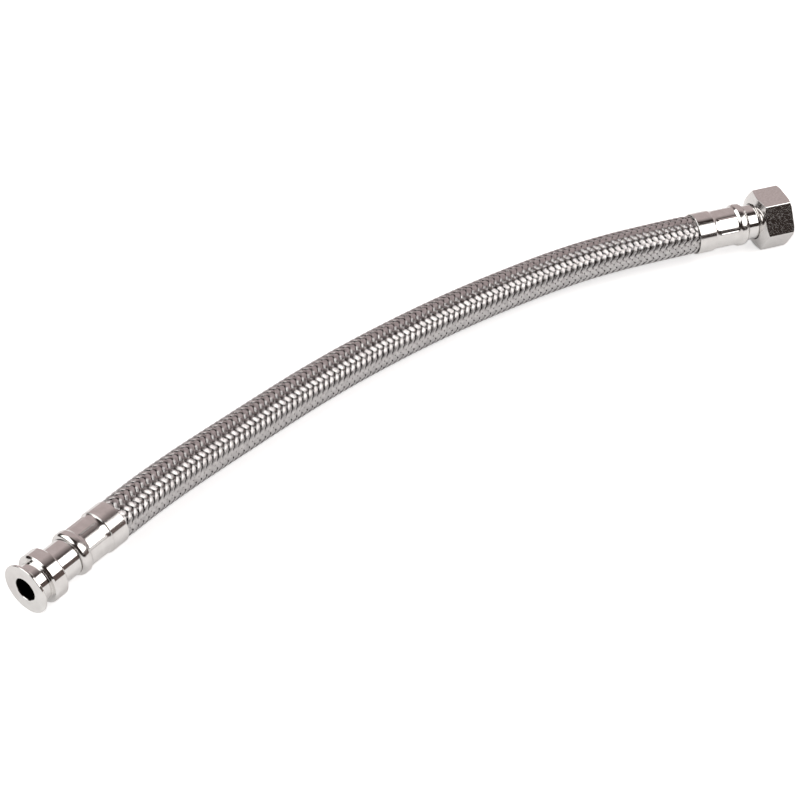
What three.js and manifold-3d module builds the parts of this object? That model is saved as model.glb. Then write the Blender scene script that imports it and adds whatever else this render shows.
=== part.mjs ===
// Braided metal hose that joins an expansion vessel to a heating circuit, lying in a gentle arc.
// Lengths are in millimetres and +Z is up. The origin is on the surface that the hose lies on,
// under the middle of the box round its two end fittings.
// Each fitting is drawn about its own +Y axis, which runs from its open end into the hose.

import * as THREE from 'three';
import * as BufferGeometryUtils from 'three/addons/utils/BufferGeometryUtils.js';
import Module from 'manifold-3d';

const wasm = await Module();
wasm.setup();

// Hose: a rubber liner inside a sleeve of interlaced wire
const hoseDiameter = 14;
const braidWall = 0.45;
const linerWall = 1.45;
const hoseSides = 12;
const hoseSteps = 10;

// Line of the hose between its two ferrules, with the ends in line with the fittings
const hoseRoute = [
  [-120.15, 5.95, 8.5],
  [-112.32, 8.02, 8.49],
  [-105.33, 9.83, 8.42],
  [-91.26, 12.99, 8.13],
  [-77.11, 15.75, 7.68],
  [-62.92, 18.34, 7.25],
  [-48.7, 20.72, 7.04],
  [-34.41, 22.7, 7.02],
  [-20.07, 24.18, 7.02],
  [-5.68, 25.16, 7.02],
  [8.73, 25.69, 7.02],
  [23.15, 25.78, 7.02],
  [37.56, 25.38, 7.02],
  [51.95, 24.38, 7.1],
  [66.25, 22.6, 7.57],
  [80.39, 19.79, 8.26],
  [94.29, 15.96, 8.95],
  [108.03, 11.56, 9.41],
  [114.9, 9.35, 9.49],
  [121.76, 7.15, 9.5],
];
const spigotHeading = 14.8;
const nutHeading = 17.8;

// Clearances
const layerGap = 0.2;
const faceGap = 0.3;
const swivelGap = 0.25;

// Crimped ferrule, the same at both ends
const ferruleWall = 0.55;
const ferruleLength = 19.4;
const ferruleLipThickness = 1.3;
const frontRoundLength = 1.6;
const beadDiameter = 15.1;
const beadLength = 1.3;
const beadSlopeLength = 1.3;
const crimpDiameter = 13.7;
const crimpLength = 7.2;
const stepLength = 1.6;
const mouthDiameter = 14.7;
const mouthEdgeRound = 0.2;
const crimpJaws = 8;
const crimpRidgeHeight = 0.15;
const crimpRidgeWidthAngle = 9;
const spigotRidgeTurn = 12;
const nutRidgeTurn = 17;

// Tail of each insert, inside the hose
const boreDiameter = 7.5;
const neckDiameter = 11;
const locatingRingDiameter = 12.2;
const locatingRingWidth = 0.9;
const tailDiameter = 9.2;
const barbCount = 4;
const barbDepth = 0.4;
const barbSpacing = 3.4;
const tailLandLength = 2;

// Plug-in end
const shankDiameter = 12.5;
const endDiscDiameter = 17;
const endDiscThickness = 1;
const sealGrooveDiameter = 13;
const sealGrooveWidth = 4.1;
const collarDiameter = 16.8;
const collarLength = 5.3;
const collarChamfer = 0.6;
const clipGrooveWidth = 7.6;
const edgeChamfer = 0.3;
const boreChamfer = 0.35;

// Swivel nut and the flange head that it pulls on
const nutAcrossFlats = 19;
const nutLength = 11.9;
const nutLipThickness = 2.2;
const nutFrontChamferDepth = 0.6;
const nutFrontChamferWidth = 1.04;
const nutBackConeLength = 1.9;
const nutBackFaceDiameter = 14.2;
const threadDiameter = 16.6;
const threadLeadIn = 0.5;
const flangeHeadDiameter = 14.4;
const flangeHeadThickness = 1.8;
const bareShankLength = 4;

const turnedSegments = 36;
const hoseEndSegments = 24;
const arcSteps = 4;
const hexagonHalfSide = Math.PI / 6;

const nickel = () => new THREE.MeshStandardMaterial({ color: 0xc9c1bd, roughness: 0.16, metalness: 1 });
const steelWire = () => new THREE.MeshStandardMaterial({ color: 0xc4c2c4, roughness: 0.28, metalness: 1 });
const rubber = () => new THREE.MeshStandardMaterial({ color: 0x1b1a1c, roughness: 0.85, metalness: 0 });

// Solids and booleans

function toManifold(geometry) {
  const bare = geometry.clone();
  bare.deleteAttribute('normal');
  bare.deleteAttribute('uv');
  const merged = BufferGeometryUtils.mergeVertices(bare, 1e-4);
  return new wasm.Manifold(new wasm.Mesh({
    numProp: 3,
    vertProperties: new Float32Array(merged.attributes.position.array),
    triVerts: new Uint32Array(merged.index.array),
  }));
}

function toGeometry(solid) {
  const { vertProperties, triVerts } = solid.getMesh();
  const geometry = new THREE.BufferGeometry();
  geometry.setAttribute('position', new THREE.BufferAttribute(new Float32Array(vertProperties), 3));
  geometry.setIndex(new THREE.BufferAttribute(new Uint32Array(triVerts), 1));
  geometry.computeVertexNormals();
  return geometry;
}

// A ring turned about Y from [radius, height] points that run up the outside and back down the bore
function turned(profile, segments = turnedSegments) {
  const points = [...profile, profile[0]].map(([radius, height]) => new THREE.Vector2(radius, height));
  return new THREE.LatheGeometry(points, segments);
}

// Points of a quarter ellipse from one corner of its box to the other
function quarterRound(from, to, bulgeAtStart) {
  const points = [];
  for (let step = 1; step < arcSteps; step += 1) {
    const angle = (step / arcSteps) * (Math.PI / 2);
    const early = Math.sin(angle);
    const late = 1 - Math.cos(angle);
    const radiusShare = bulgeAtStart ? early : late;
    const heightShare = bulgeAtStart ? late : early;
    points.push([
      from[0] + (to[0] - from[0]) * radiusShare,
      from[1] + (to[1] - from[1]) * heightShare,
    ]);
  }
  return points;
}

// Points of a smooth S between two radii
function slope(from, to) {
  const points = [];
  for (let step = 1; step < arcSteps; step += 1) {
    const share = step / arcSteps;
    const eased = share * share * (3 - 2 * share);
    points.push([from[0] + (to[0] - from[0]) * eased, from[1] + (to[1] - from[1]) * share]);
  }
  return points;
}

// Heights along a ferrule, from its front

const beadStart = frontRoundLength;
const beadEnd = beadStart + beadLength;
const crimpStart = beadEnd + beadSlopeLength;
const crimpEnd = crimpStart + crimpLength;
const mouthStart = crimpEnd + stepLength;

const lipRadius = neckDiameter / 2 + layerGap;
const crimpInnerRadius = crimpDiameter / 2 - ferruleWall;
const mouthInnerRadius = mouthDiameter / 2 - ferruleWall;
const beadInnerRadius = beadDiameter / 2 - ferruleWall;
const ridgeRadius = crimpDiameter / 2 + crimpRidgeHeight;

// A sleeve with a rolled front, a bead, a crimped waist and a smooth mouth over the braid
function ferruleBody() {
  const frontEdge = [shankDiameter / 2, 0];
  const beadFront = [beadDiameter / 2, beadStart];
  const beadBack = [beadDiameter / 2, beadEnd];
  const waistFront = [ridgeRadius, crimpStart];
  const waistBack = [ridgeRadius, crimpEnd];
  const mouthFront = [mouthDiameter / 2, mouthStart];
  const mouthRim = [mouthDiameter / 2, ferruleLength - mouthEdgeRound];
  return turned([
    [lipRadius, 0],
    frontEdge,
    ...quarterRound(frontEdge, beadFront, true),
    beadFront,
    beadBack,
    ...slope(beadBack, waistFront),
    waistFront,
    waistBack,
    ...quarterRound(waistBack, mouthFront, false),
    mouthFront,
    mouthRim,
    [mouthDiameter / 2 - mouthEdgeRound, ferruleLength],
    [mouthInnerRadius, ferruleLength],
    [mouthInnerRadius, mouthStart],
    [crimpInnerRadius, crimpEnd],
    [crimpInnerRadius, crimpStart],
    [beadInnerRadius, beadEnd],
    [beadInnerRadius, beadStart],
    [shankDiameter / 2, ferruleLipThickness],
    [lipRadius, ferruleLipThickness],
  ]);
}

// The bite of one crimping jaw: a block whose inner face is part of a cylinder
const jawAngle = 360 / crimpJaws;

function crimpJaw() {
  const halfAngle = THREE.MathUtils.degToRad(jawAngle - crimpRidgeWidthAngle) / 2;
  const shape = new THREE.Shape();
  shape.absarc(0, 0, beadDiameter / 2, -halfAngle, halfAngle, false);
  shape.absarc(0, 0, crimpDiameter / 2, halfAngle, -halfAngle, true);
  const block = new THREE.ExtrudeGeometry(shape, {
    depth: crimpLength,
    bevelEnabled: false,
    curveSegments: arcSteps,
  });
  block.rotateX(-Math.PI / 2);
  block.translate(0, crimpStart, 0);
  return block;
}

// The jaws leave a ridge at ridgeTurn, in degrees from the top of the fitting, and one after each jaw
function crimpedFerrule(name, ridgeTurn) {
  let body = toManifold(ferruleBody());
  for (let jaw = 0; jaw < crimpJaws; jaw += 1) {
    const block = crimpJaw();
    block.rotateY(THREE.MathUtils.degToRad(ridgeTurn + (jaw + 0.5) * jawAngle));
    body = body.subtract(toManifold(block));
  }
  const mesh = new THREE.Mesh(toGeometry(body), nickel());
  mesh.name = name;
  return mesh;
}

// Heights along an insert's tail, from the front of its ferrule
const ringStart = ferruleLipThickness + layerGap;
const ringEnd = ringStart + locatingRingWidth;
const firstBarb = ringEnd + tailLandLength;
const tailEnd = firstBarb + barbCount * barbSpacing;

// The part of an insert behind its shank: neck for the ferrule's lip, locating ring and barbed tail
function tailProfile(ferruleFront) {
  const rootRadius = tailDiameter / 2 - barbDepth;
  const points = [
    [shankDiameter / 2, ferruleFront - layerGap],
    [neckDiameter / 2, ferruleFront - layerGap],
    [neckDiameter / 2, ferruleFront + ringStart],
    [locatingRingDiameter / 2, ferruleFront + ringStart],
    [locatingRingDiameter / 2, ferruleFront + ringEnd],
    [tailDiameter / 2, ferruleFront + ringEnd],
  ];
  for (let barb = 0; barb < barbCount; barb += 1) {
    const crest = ferruleFront + firstBarb + barb * barbSpacing;
    points.push([tailDiameter / 2, crest]);
    points.push([rootRadius, crest + barbSpacing]);
  }
  points.push([boreDiameter / 2, ferruleFront + tailEnd]);
  return points;
}

// Heights along the plug-in end, from its open face
const sealGrooveStart = endDiscThickness;
const collarStart = sealGrooveStart + sealGrooveWidth;
const collarEnd = collarStart + collarLength;
const spigotFerruleFront = collarEnd + clipGrooveWidth;

function spigotInsert() {
  const discRadius = endDiscDiameter / 2;
  const collarRadius = collarDiameter / 2;
  const mesh = new THREE.Mesh(turned([
    [boreDiameter / 2 + boreChamfer, 0],
    [discRadius - edgeChamfer, 0],
    [discRadius, edgeChamfer],
    [discRadius, sealGrooveStart - edgeChamfer],
    [discRadius - edgeChamfer, sealGrooveStart],
    [sealGrooveDiameter / 2, sealGrooveStart],
    [sealGrooveDiameter / 2, collarStart],
    [collarRadius - collarChamfer, collarStart],
    [collarRadius, collarStart + collarChamfer],
    [collarRadius, collarEnd - collarChamfer],
    [collarRadius - collarChamfer, collarEnd],
    [shankDiameter / 2, collarEnd],
    ...tailProfile(spigotFerruleFront),
    [boreDiameter / 2, boreChamfer],
  ]), nickel());
  mesh.name = 'spigot_insert';
  return mesh;
}

// Heights along the nut end, from the nut's open face
const nutLipStart = nutLength - nutLipThickness;
const flangeHeadBack = nutLipStart - swivelGap;
const flangeHeadFace = flangeHeadBack - flangeHeadThickness;
const nutFerruleFront = nutLength + bareShankLength;

function nutInsert() {
  const headRadius = flangeHeadDiameter / 2;
  const mesh = new THREE.Mesh(turned([
    [boreDiameter / 2 + boreChamfer, flangeHeadFace],
    [headRadius - edgeChamfer, flangeHeadFace],
    [headRadius, flangeHeadFace + edgeChamfer],
    [headRadius, flangeHeadBack],
    [shankDiameter / 2, flangeHeadBack],
    ...tailProfile(nutFerruleFront),
    [boreDiameter / 2, flangeHeadFace + boreChamfer],
  ]), nickel());
  mesh.name = 'nut_insert';
  return mesh;
}

// Hexagon bar, turned at both ends, with the threaded socket and the lip's hole cut from it
function swivelNut() {
  const cornerRadius = nutAcrossFlats / 2 / Math.cos(hexagonHalfSide);
  const bar = new THREE.CylinderGeometry(cornerRadius, cornerRadius, nutLength, 6);
  bar.rotateY(hexagonHalfSide);
  bar.translate(0, nutLength / 2, 0);
  const envelope = new THREE.LatheGeometry([
    new THREE.Vector2(0, 0),
    new THREE.Vector2(cornerRadius - nutFrontChamferWidth, 0),
    new THREE.Vector2(cornerRadius, nutFrontChamferDepth),
    new THREE.Vector2(cornerRadius, nutLength - nutBackConeLength),
    new THREE.Vector2(nutBackFaceDiameter / 2, nutLength),
    new THREE.Vector2(0, nutLength),
  ], turnedSegments);
  const threadRadius = threadDiameter / 2;
  const holeRadius = shankDiameter / 2 + swivelGap;
  const beyond = 1;
  const socket = new THREE.LatheGeometry([
    new THREE.Vector2(0, -beyond),
    new THREE.Vector2(threadRadius + threadLeadIn + beyond, -beyond),
    new THREE.Vector2(threadRadius, threadLeadIn),
    new THREE.Vector2(threadRadius, nutLipStart),
    new THREE.Vector2(holeRadius, nutLipStart),
    new THREE.Vector2(holeRadius, nutLength + beyond),
    new THREE.Vector2(0, nutLength + beyond),
  ], turnedSegments);
  const solid = toManifold(bar).intersect(toManifold(envelope)).subtract(toManifold(socket));
  const mesh = new THREE.Mesh(toGeometry(solid), nickel());
  mesh.name = 'swivel_nut';
  return mesh;
}

// Each fitting sits on an end of the hose's line, and its +Y axis points along it into the hose

const routePoints = hoseRoute.map((point) => new THREE.Vector3(...point));
const hoseLine = new THREE.CatmullRomCurve3(routePoints, false, 'centripetal');

function fittingGroup(hoseEnd, headingAngle, ferruleFront) {
  const heading = THREE.MathUtils.degToRad(headingAngle);
  const inward = new THREE.Vector3(Math.cos(heading), Math.sin(heading), 0);
  const group = new THREE.Group();
  group.position.copy(hoseEnd).addScaledVector(inward, -(ferruleFront + ferruleLength + faceGap));
  group.rotation.z = heading - Math.PI / 2;
  group.updateMatrixWorld();
  return group;
}

const spigotEnd = fittingGroup(routePoints[0], spigotHeading, spigotFerruleFront);
const nutEnd = fittingGroup(routePoints.at(-1), 180 - nutHeading, nutFerruleFront);

// One layer of the hose: a plain tube between the ferrules, with both ends squeezed inside them

function layerTube(outerRadius, innerRadius) {
  const ringPoints = (radius) => Array.from({ length: hoseSides }, (_, side) => {
    const angle = (side / hoseSides) * 2 * Math.PI;
    return new THREE.Vector2(radius * Math.cos(angle), radius * Math.sin(angle));
  });
  const section = new THREE.Shape(ringPoints(outerRadius));
  section.holes.push(new THREE.Path(ringPoints(innerRadius)));
  return new THREE.ExtrudeGeometry(section, { steps: hoseSteps, extrudePath: hoseLine });
}

// An end is let into the tube by this much along the hose and in the depth of the wall
const jointLength = 0.5;
const jointDepth = 0.15;

// Radii are [outer, inner] in the ferrule's mouth, in its crimp and where the end joins the tube
function squeezedEnd(atMouth, atCrimp, atTube) {
  const start = ringEnd + layerGap;
  const inTube = ferruleLength + faceGap + jointLength;
  return turned([
    [atMouth[0], start],
    [atMouth[0], beadEnd],
    [atCrimp[0], crimpStart],
    [atCrimp[0], crimpEnd],
    [atMouth[0], mouthStart],
    [atMouth[0], ferruleLength],
    [atTube[0], ferruleLength + faceGap],
    [atTube[0], inTube],
    [atTube[1], inTube],
    [atTube[1], ferruleLength + faceGap],
    [atMouth[1], ferruleLength],
    [atMouth[1], mouthStart],
    [atCrimp[1], crimpEnd],
    [atCrimp[1], crimpStart],
    [atMouth[1], beadEnd],
    [atMouth[1], start],
  ], hoseEndSegments);
}

function hoseLayer(name, material, tube, end) {
  let solid = toManifold(tube);
  for (const [group, ferruleFront] of [[spigotEnd, spigotFerruleFront], [nutEnd, nutFerruleFront]]) {
    const placed = end.clone().translate(0, ferruleFront, 0).applyMatrix4(group.matrixWorld);
    solid = solid.add(toManifold(placed));
  }
  const mesh = new THREE.Mesh(toGeometry(solid), material);
  mesh.name = name;
  return mesh;
}

const braidOuterRadius = hoseDiameter / 2;
const braidInnerRadius = braidOuterRadius - braidWall;
const linerOuterRadius = braidInnerRadius - layerGap;
const linerInnerRadius = linerOuterRadius - linerWall;

const braidMouth = [mouthInnerRadius - layerGap, mouthInnerRadius - layerGap - braidWall];
const braidCrimp = [crimpInnerRadius - layerGap, crimpInnerRadius - layerGap - braidWall];
const linerBoreOnTail = tailDiameter / 2 + layerGap;

function wireBraid() {
  const atTube = [braidInnerRadius + jointDepth, braidInnerRadius];
  return hoseLayer(
    'wire_braid',
    steelWire(),
    layerTube(braidOuterRadius, braidInnerRadius),
    squeezedEnd(braidMouth, braidCrimp, atTube),
  );
}

function innerLiner() {
  const atMouth = [braidMouth[1] - layerGap, linerBoreOnTail];
  const atCrimp = [braidCrimp[1] - layerGap, linerBoreOnTail];
  const atTube = [atMouth[0], linerInnerRadius + jointDepth];
  return hoseLayer(
    'inner_liner',
    rubber(),
    layerTube(linerOuterRadius, linerInnerRadius),
    squeezedEnd(atMouth, atCrimp, atTube),
  );
}

function seatedFerrule(name, ridgeTurn, ferruleFront) {
  const ferrule = crimpedFerrule(name, ridgeTurn);
  ferrule.position.y = ferruleFront;
  return ferrule;
}

spigotEnd.add(spigotInsert(), seatedFerrule('spigot_ferrule', spigotRidgeTurn, spigotFerruleFront));
nutEnd.add(nutInsert(), seatedFerrule('nut_ferrule', nutRidgeTurn, nutFerruleFront), swivelNut());

const hose = new THREE.Group();
hose.add(spigotEnd, innerLiner(), wireBraid(), nutEnd);

export default hose;
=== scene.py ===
# %% [markdown]
# # A braided hose for an expansion vessel
#
# The real object is a short flexible hose with a wire braid over a rubber tube. One end carries a
# turned plug-in fitting, the other a loose hexagon nut, and both are held by a crimped sleeve.
#
# The CAD model says where everything is. It is loaded once, as a fixed frame, and each piece below
# is a finer version of one of its solids, made in the same place and in metres.

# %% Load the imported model
import math

import bmesh
import bpy
import numpy as np
from mathutils import Matrix, Vector


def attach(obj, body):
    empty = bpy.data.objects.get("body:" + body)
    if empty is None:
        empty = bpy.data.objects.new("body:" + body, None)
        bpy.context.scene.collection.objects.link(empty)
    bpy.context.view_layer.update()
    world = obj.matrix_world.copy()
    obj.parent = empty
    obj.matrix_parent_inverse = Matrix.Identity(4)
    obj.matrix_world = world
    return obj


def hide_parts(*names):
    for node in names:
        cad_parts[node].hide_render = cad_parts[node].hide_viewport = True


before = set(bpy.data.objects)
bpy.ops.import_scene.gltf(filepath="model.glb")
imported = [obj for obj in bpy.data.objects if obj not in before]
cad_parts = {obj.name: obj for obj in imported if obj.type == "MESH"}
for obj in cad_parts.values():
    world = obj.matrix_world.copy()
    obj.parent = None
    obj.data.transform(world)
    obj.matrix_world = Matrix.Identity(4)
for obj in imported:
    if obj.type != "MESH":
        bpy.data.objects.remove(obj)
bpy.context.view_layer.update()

MM = 0.001
print("CAD nodes:", ", ".join(sorted(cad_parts)))

# %% [markdown]
# ## The camera
#
# The hose is seen from above the near side, at about 40 degrees, with a long lens. A lens can be
# tried by eye, but the outline of a bent tube hardly says how far away the camera stands. So its
# place was worked out from things whose shape is known: the round end, the hexagon and the braid,
# which has the same width all along.

# %% Camera
EYE = Vector((-0.35989, -0.45711, 0.49598))
VIEW_DIRECTION = Vector((0.4592, 0.6064, -0.6491))

camera_data = bpy.data.cameras.new("camera")
camera_data.sensor_width = 36
camera_data.lens = 103.5
camera_data.clip_start = 0.01
camera = bpy.data.objects.new("camera", camera_data)
bpy.context.scene.collection.objects.link(camera)
aim = VIEW_DIRECTION.to_track_quat("-Z", "Y").to_matrix().to_4x4()
camera.matrix_world = Matrix.Translation(EYE) @ aim
bpy.context.scene.camera = camera
print("camera height above the floor:", round(EYE.z, 3), "m")

# %% [markdown]
# ## Where the hose lies
#
# A hose is a bent line with a thickness, so the line comes first. The points below are those of the
# CAD source. A curve object could carry them, but the braid needs to know, at each millimetre of
# the hose, where the middle is and which way is up. So the curve is worked out here as plain
# numbers, and every layer of the hose is laid along it.

# %% Route of the hose
HOSE_ROUTE = np.array([
    (-0.12015, 0.00595, 0.0085),
    (-0.11232, 0.00802, 0.00849),
    (-0.10533, 0.00983, 0.00842),
    (-0.09126, 0.01299, 0.00813),
    (-0.07711, 0.01575, 0.00768),
    (-0.06292, 0.01834, 0.00725),
    (-0.0487, 0.02072, 0.00704),
    (-0.03441, 0.0227, 0.00702),
    (-0.02007, 0.02418, 0.00702),
    (-0.00568, 0.02516, 0.00702),
    (0.00873, 0.02569, 0.00702),
    (0.02315, 0.02578, 0.00702),
    (0.03756, 0.02538, 0.00702),
    (0.05195, 0.02438, 0.0071),
    (0.06625, 0.0226, 0.00757),
    (0.08039, 0.01979, 0.00826),
    (0.09429, 0.01596, 0.00895),
    (0.10803, 0.01156, 0.00941),
    (0.1149, 0.00935, 0.00949),
    (0.12176, 0.00715, 0.0095),
])
SPIGOT_HEADING = math.radians(14.8)
NUT_HEADING = math.radians(180 - 17.8)


def route_curve(points, per_span=16):
    """Points on the smooth curve that passes through the route's points."""
    ends = [2 * points[0] - points[1]], [2 * points[-1] - points[-2]]
    padded = np.vstack([ends[0], points, ends[1]])
    found = []
    for p0, p1, p2, p3 in zip(padded, padded[1:], padded[2:], padded[3:]):
        before, span, after = (math.sqrt(np.linalg.norm(b - a)) for a, b in ((p0, p1), (p1, p2), (p2, p3)))
        leave = span * ((p1 - p0) / before - (p2 - p0) / (before + span) + (p2 - p1) / span)
        arrive = span * ((p2 - p1) / span - (p3 - p1) / (span + after) + (p3 - p2) / after)
        for t in np.arange(per_span) / per_span:
            found.append(
                (2 * t**3 - 3 * t**2 + 1) * p1
                + (t**3 - 2 * t**2 + t) * leave
                + (-2 * t**3 + 3 * t**2) * p2
                + (t**3 - t**2) * arrive
            )
    return np.array(found + [points[-1]])


def heading_vector(angle):
    return np.array((math.cos(angle), math.sin(angle), 0.0))


# %% [markdown]
# ## The two fittings' places
#
# Each fitting is drawn about its own Y axis, from its open end at zero into the hose, just as on a
# lathe. A matrix then puts it on the end of the hose. The heights below are those of the CAD solids.

# %% Places of the fittings
FERRULE_LENGTH = 19.4
FACE_GAP = 0.3
SPIGOT_FERRULE_FRONT = 18.0
NUT_FERRULE_FRONT = 15.9


def fitting_matrix(hose_end, heading, ferrule_front):
    inward = heading_vector(heading)
    tip = hose_end - inward * (ferrule_front + FERRULE_LENGTH + FACE_GAP) * MM
    return Matrix.Translation(tip) @ Matrix.Rotation(heading - math.pi / 2, 4, "Z")


SPIGOT_PLACE = fitting_matrix(HOSE_ROUTE[0], SPIGOT_HEADING, SPIGOT_FERRULE_FRONT)
NUT_PLACE = fitting_matrix(HOSE_ROUTE[-1], NUT_HEADING, NUT_FERRULE_FRONT)
print("plug-in end at", [round(x, 4) for x in SPIGOT_PLACE.translation])
print("nut end at", [round(x, 4) for x in NUT_PLACE.translation])

# %% [markdown]
# ## The hose's line, with both ends in their sleeves
#
# The hose goes on inside the two sleeves, where it is straight. A frame of three directions goes
# with each point of the line: along the hose, up, and to the side. Up is always taken from the
# floor, so the braid doesn't twist as it goes round the bend. The direction along the hose is blended
# over a few steps of the line, so that it has no kink where the straight ends begin.

# %% Line and directions along the hose
HELD_LENGTH = 16.8
HELD_STEP = 0.8
LINE_STEP = 0.0005
BLEND_REACH = 6

start_run, end_run = heading_vector(SPIGOT_HEADING), heading_vector(NUT_HEADING)
inside = np.arange(HELD_LENGTH, 0, -HELD_STEP)[:, None] * MM
rough_line = np.vstack([
    HOSE_ROUTE[0] - inside * start_run,
    route_curve(HOSE_ROUTE),
    (HOSE_ROUTE[-1] - inside * end_run)[::-1],
])
rough_length = np.append(0, np.cumsum(np.linalg.norm(np.diff(rough_line, axis=0), axis=1)))
HOSE_LENGTH = rough_length[-1]
along = np.linspace(0, HOSE_LENGTH, round(HOSE_LENGTH / LINE_STEP) + 1)
hose_line = np.stack([np.interp(along, rough_length, rough_line[:, axis]) for axis in range(3)], axis=1)

blend = np.full(2 * BLEND_REACH + 1, 1 / (2 * BLEND_REACH + 1))
rough_tangent = np.pad(np.gradient(hose_line, along, axis=0), ((BLEND_REACH, BLEND_REACH), (0, 0)), "edge")
tangent = np.stack([np.convolve(rough_tangent[:, axis], blend, "valid") for axis in range(3)], axis=1)
tangent /= np.linalg.norm(tangent, axis=1)[:, None]
upward = np.array((0, 0, 1.0)) - tangent * tangent[:, 2:3]
upward /= np.linalg.norm(upward, axis=1)[:, None]
sideways = np.cross(tangent, upward)


def on_hose(distance, angle, radius):
    """Points at these distances along the hose, angles round it and radii from its middle."""
    def pick(values):
        return np.stack([np.interp(distance, along, values[:, axis]) for axis in range(3)], axis=-1)
    outward = np.cos(angle)[..., None] * pick(upward) + np.sin(angle)[..., None] * pick(sideways)
    return pick(hose_line) + radius[..., None] * outward


print("hose between the sleeves:", round((HOSE_LENGTH - 2 * HELD_LENGTH * MM) * 1000, 1), "mm")
print("hose with its held ends:", round(HOSE_LENGTH * 1000, 1), "mm")

# %% [markdown]
# ## How the sleeves squeeze the hose
#
# Under the crimp the hose is thinner, and in the sleeve's mouth it is a little thinner than
# outside. One function gives the outer radius of the braid at any distance, so that the braid and
# the rubber below it follow the same squeeze.

# %% Outer radius of the braid
HOSE_RADIUS = 7.0
MOUTH_RADIUS = 6.72
CRIMPED_RADIUS = 6.24
SQUEEZE_DISTANCES = [0, 0.3, 1.4, 8.4, 10.2, 16.6, 19.7]
SQUEEZE_RADII = [*[MOUTH_RADIUS] * 2, *[CRIMPED_RADIUS] * 2, *[MOUTH_RADIUS] * 2, HOSE_RADIUS]


def braid_radius(distance):
    """Outer radius of the braid in millimetres at a distance in metres from the hose's start."""
    from_end = np.minimum(distance, HOSE_LENGTH - distance) / MM
    return np.interp(from_end, SQUEEZE_DISTANCES, SQUEEZE_RADII)


print("braid radius in the middle:", braid_radius(np.array(HOSE_LENGTH / 2)), "mm")

# %% [markdown]
# ## Meshes from rings
#
# Nearly all of this object is a section that is carried along a line: the rubber tube, a bundle of
# wires, a turned ring. Blender can do that with curves and the Screw modifier, but then each piece
# has to be converted before it can be shaped further. Here a grid of points is worked out first and
# is turned into quads in one go, which is quick also for the hundreds of thousands in the braid.

# %% Helper: a mesh from a grid of points
def grid_mesh(name, grids, close_length=False, sharp_columns=()):
    """One mesh of grids of points, each (rings, points round the ring, 3), in metres."""
    corners, faces, start = [], [], 0
    for grid in grids:
        rings, sides = grid.shape[:2]
        index = np.arange(rings * sides).reshape(rings, sides) + start
        if close_length:
            index = np.vstack([index, index[:1]])
        beside = np.roll(index, -1, axis=1)
        faces.append(np.stack([index[:-1], beside[:-1], beside[1:], index[1:]], axis=-1).reshape(-1, 4))
        corners.append(grid.reshape(-1, 3))
        start += rings * sides
    corners, faces = np.vstack(corners), np.vstack(faces)
    mesh = bpy.data.meshes.new(name)
    mesh.vertices.add(len(corners))
    mesh.vertices.foreach_set("co", corners.astype(np.float32).ravel())
    mesh.loops.add(faces.size)
    mesh.loops.foreach_set("vertex_index", faces.astype(np.int32).ravel())
    mesh.polygons.add(len(faces))
    mesh.polygons.foreach_set("loop_start", np.arange(0, faces.size, 4, dtype=np.int32))
    mesh.polygons.foreach_set("use_smooth", np.ones(len(faces), dtype=bool))
    mesh.update(calc_edges=True)
    if sharp_columns:
        sides = grids[0].shape[1]
        ends = np.empty(len(mesh.edges) * 2, dtype=np.int32)
        mesh.edges.foreach_get("vertices", ends)
        column = ends.reshape(-1, 2) % sides
        lengthwise = column[:, 0] == column[:, 1]
        sharp = lengthwise & np.isin(column[:, 0], list(sharp_columns))
        mesh.attributes.new("sharp_edge", "BOOLEAN", "EDGE").data.foreach_set("value", sharp)
    return mesh


def close_ends(mesh):
    """Fills the open ends of tubes and turns all faces outwards."""
    work = bmesh.new()
    work.from_mesh(mesh)
    open_edges = [edge for edge in work.edges if edge.is_boundary]
    if open_edges:
        bmesh.ops.holes_fill(work, edges=open_edges, sides=0)
    bmesh.ops.recalc_face_normals(work, faces=work.faces)
    work.to_mesh(mesh)
    work.free()


def place(mesh, body, matrix=None):
    """A new object of this mesh that rides on a body of the frame."""
    piece = bpy.data.objects.new(mesh.name, mesh)
    bpy.context.scene.collection.objects.link(piece)
    if matrix is not None:
        piece.matrix_world = matrix
    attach(piece, body)
    return piece


# %% [markdown]
# ## The rubber tube inside
#
# The tube carries the water. It shows only as darkness between the wires, but it has to be there,
# because without it one would look through the hose. It is a real tube with a wall.

# %% Rubber tube
LINER_BELOW_BRAID = 0.62
LINER_BORE_RADIUS = 4.9
LINER_SIDES = 48
STEPS_PER_RING = 4

ring_distance = along[::STEPS_PER_RING]
turn = np.linspace(0, 2 * math.pi, LINER_SIDES, endpoint=False)
distance_grid, angle_grid = np.meshgrid(ring_distance, turn, indexing="ij")
outer_skin = on_hose(distance_grid, angle_grid, (braid_radius(distance_grid) - LINER_BELOW_BRAID) * MM)
bore_skin = on_hose(distance_grid, angle_grid, np.full_like(distance_grid, LINER_BORE_RADIUS * MM))
liner_mesh = grid_mesh("rubber_tube", [np.vstack([outer_skin, bore_skin[::-1]])], close_length=True)
close_ends(liner_mesh)
rubber_tube = place(liner_mesh, "hose")
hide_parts("inner_liner")
print("rubber tube:", len(liner_mesh.polygons), "faces")

# %% [markdown]
# ## The wire braid: how the bundles run
#
# A braiding machine lays 12 bundles of wire one way round the tube and 12 the other way. Each bundle
# passes over two others and then under two. A picture of a braid, or bump on a smooth tube, would
# look flat at the hose's outline and when seen close. So each bundle is a real mesh here.
#
# The rule that makes the pattern is short. Count the bundles that a wire has crossed, add its own
# number, and the sum tells whether it is above or below. The two directions get opposite answers,
# so they never meet.

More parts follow.
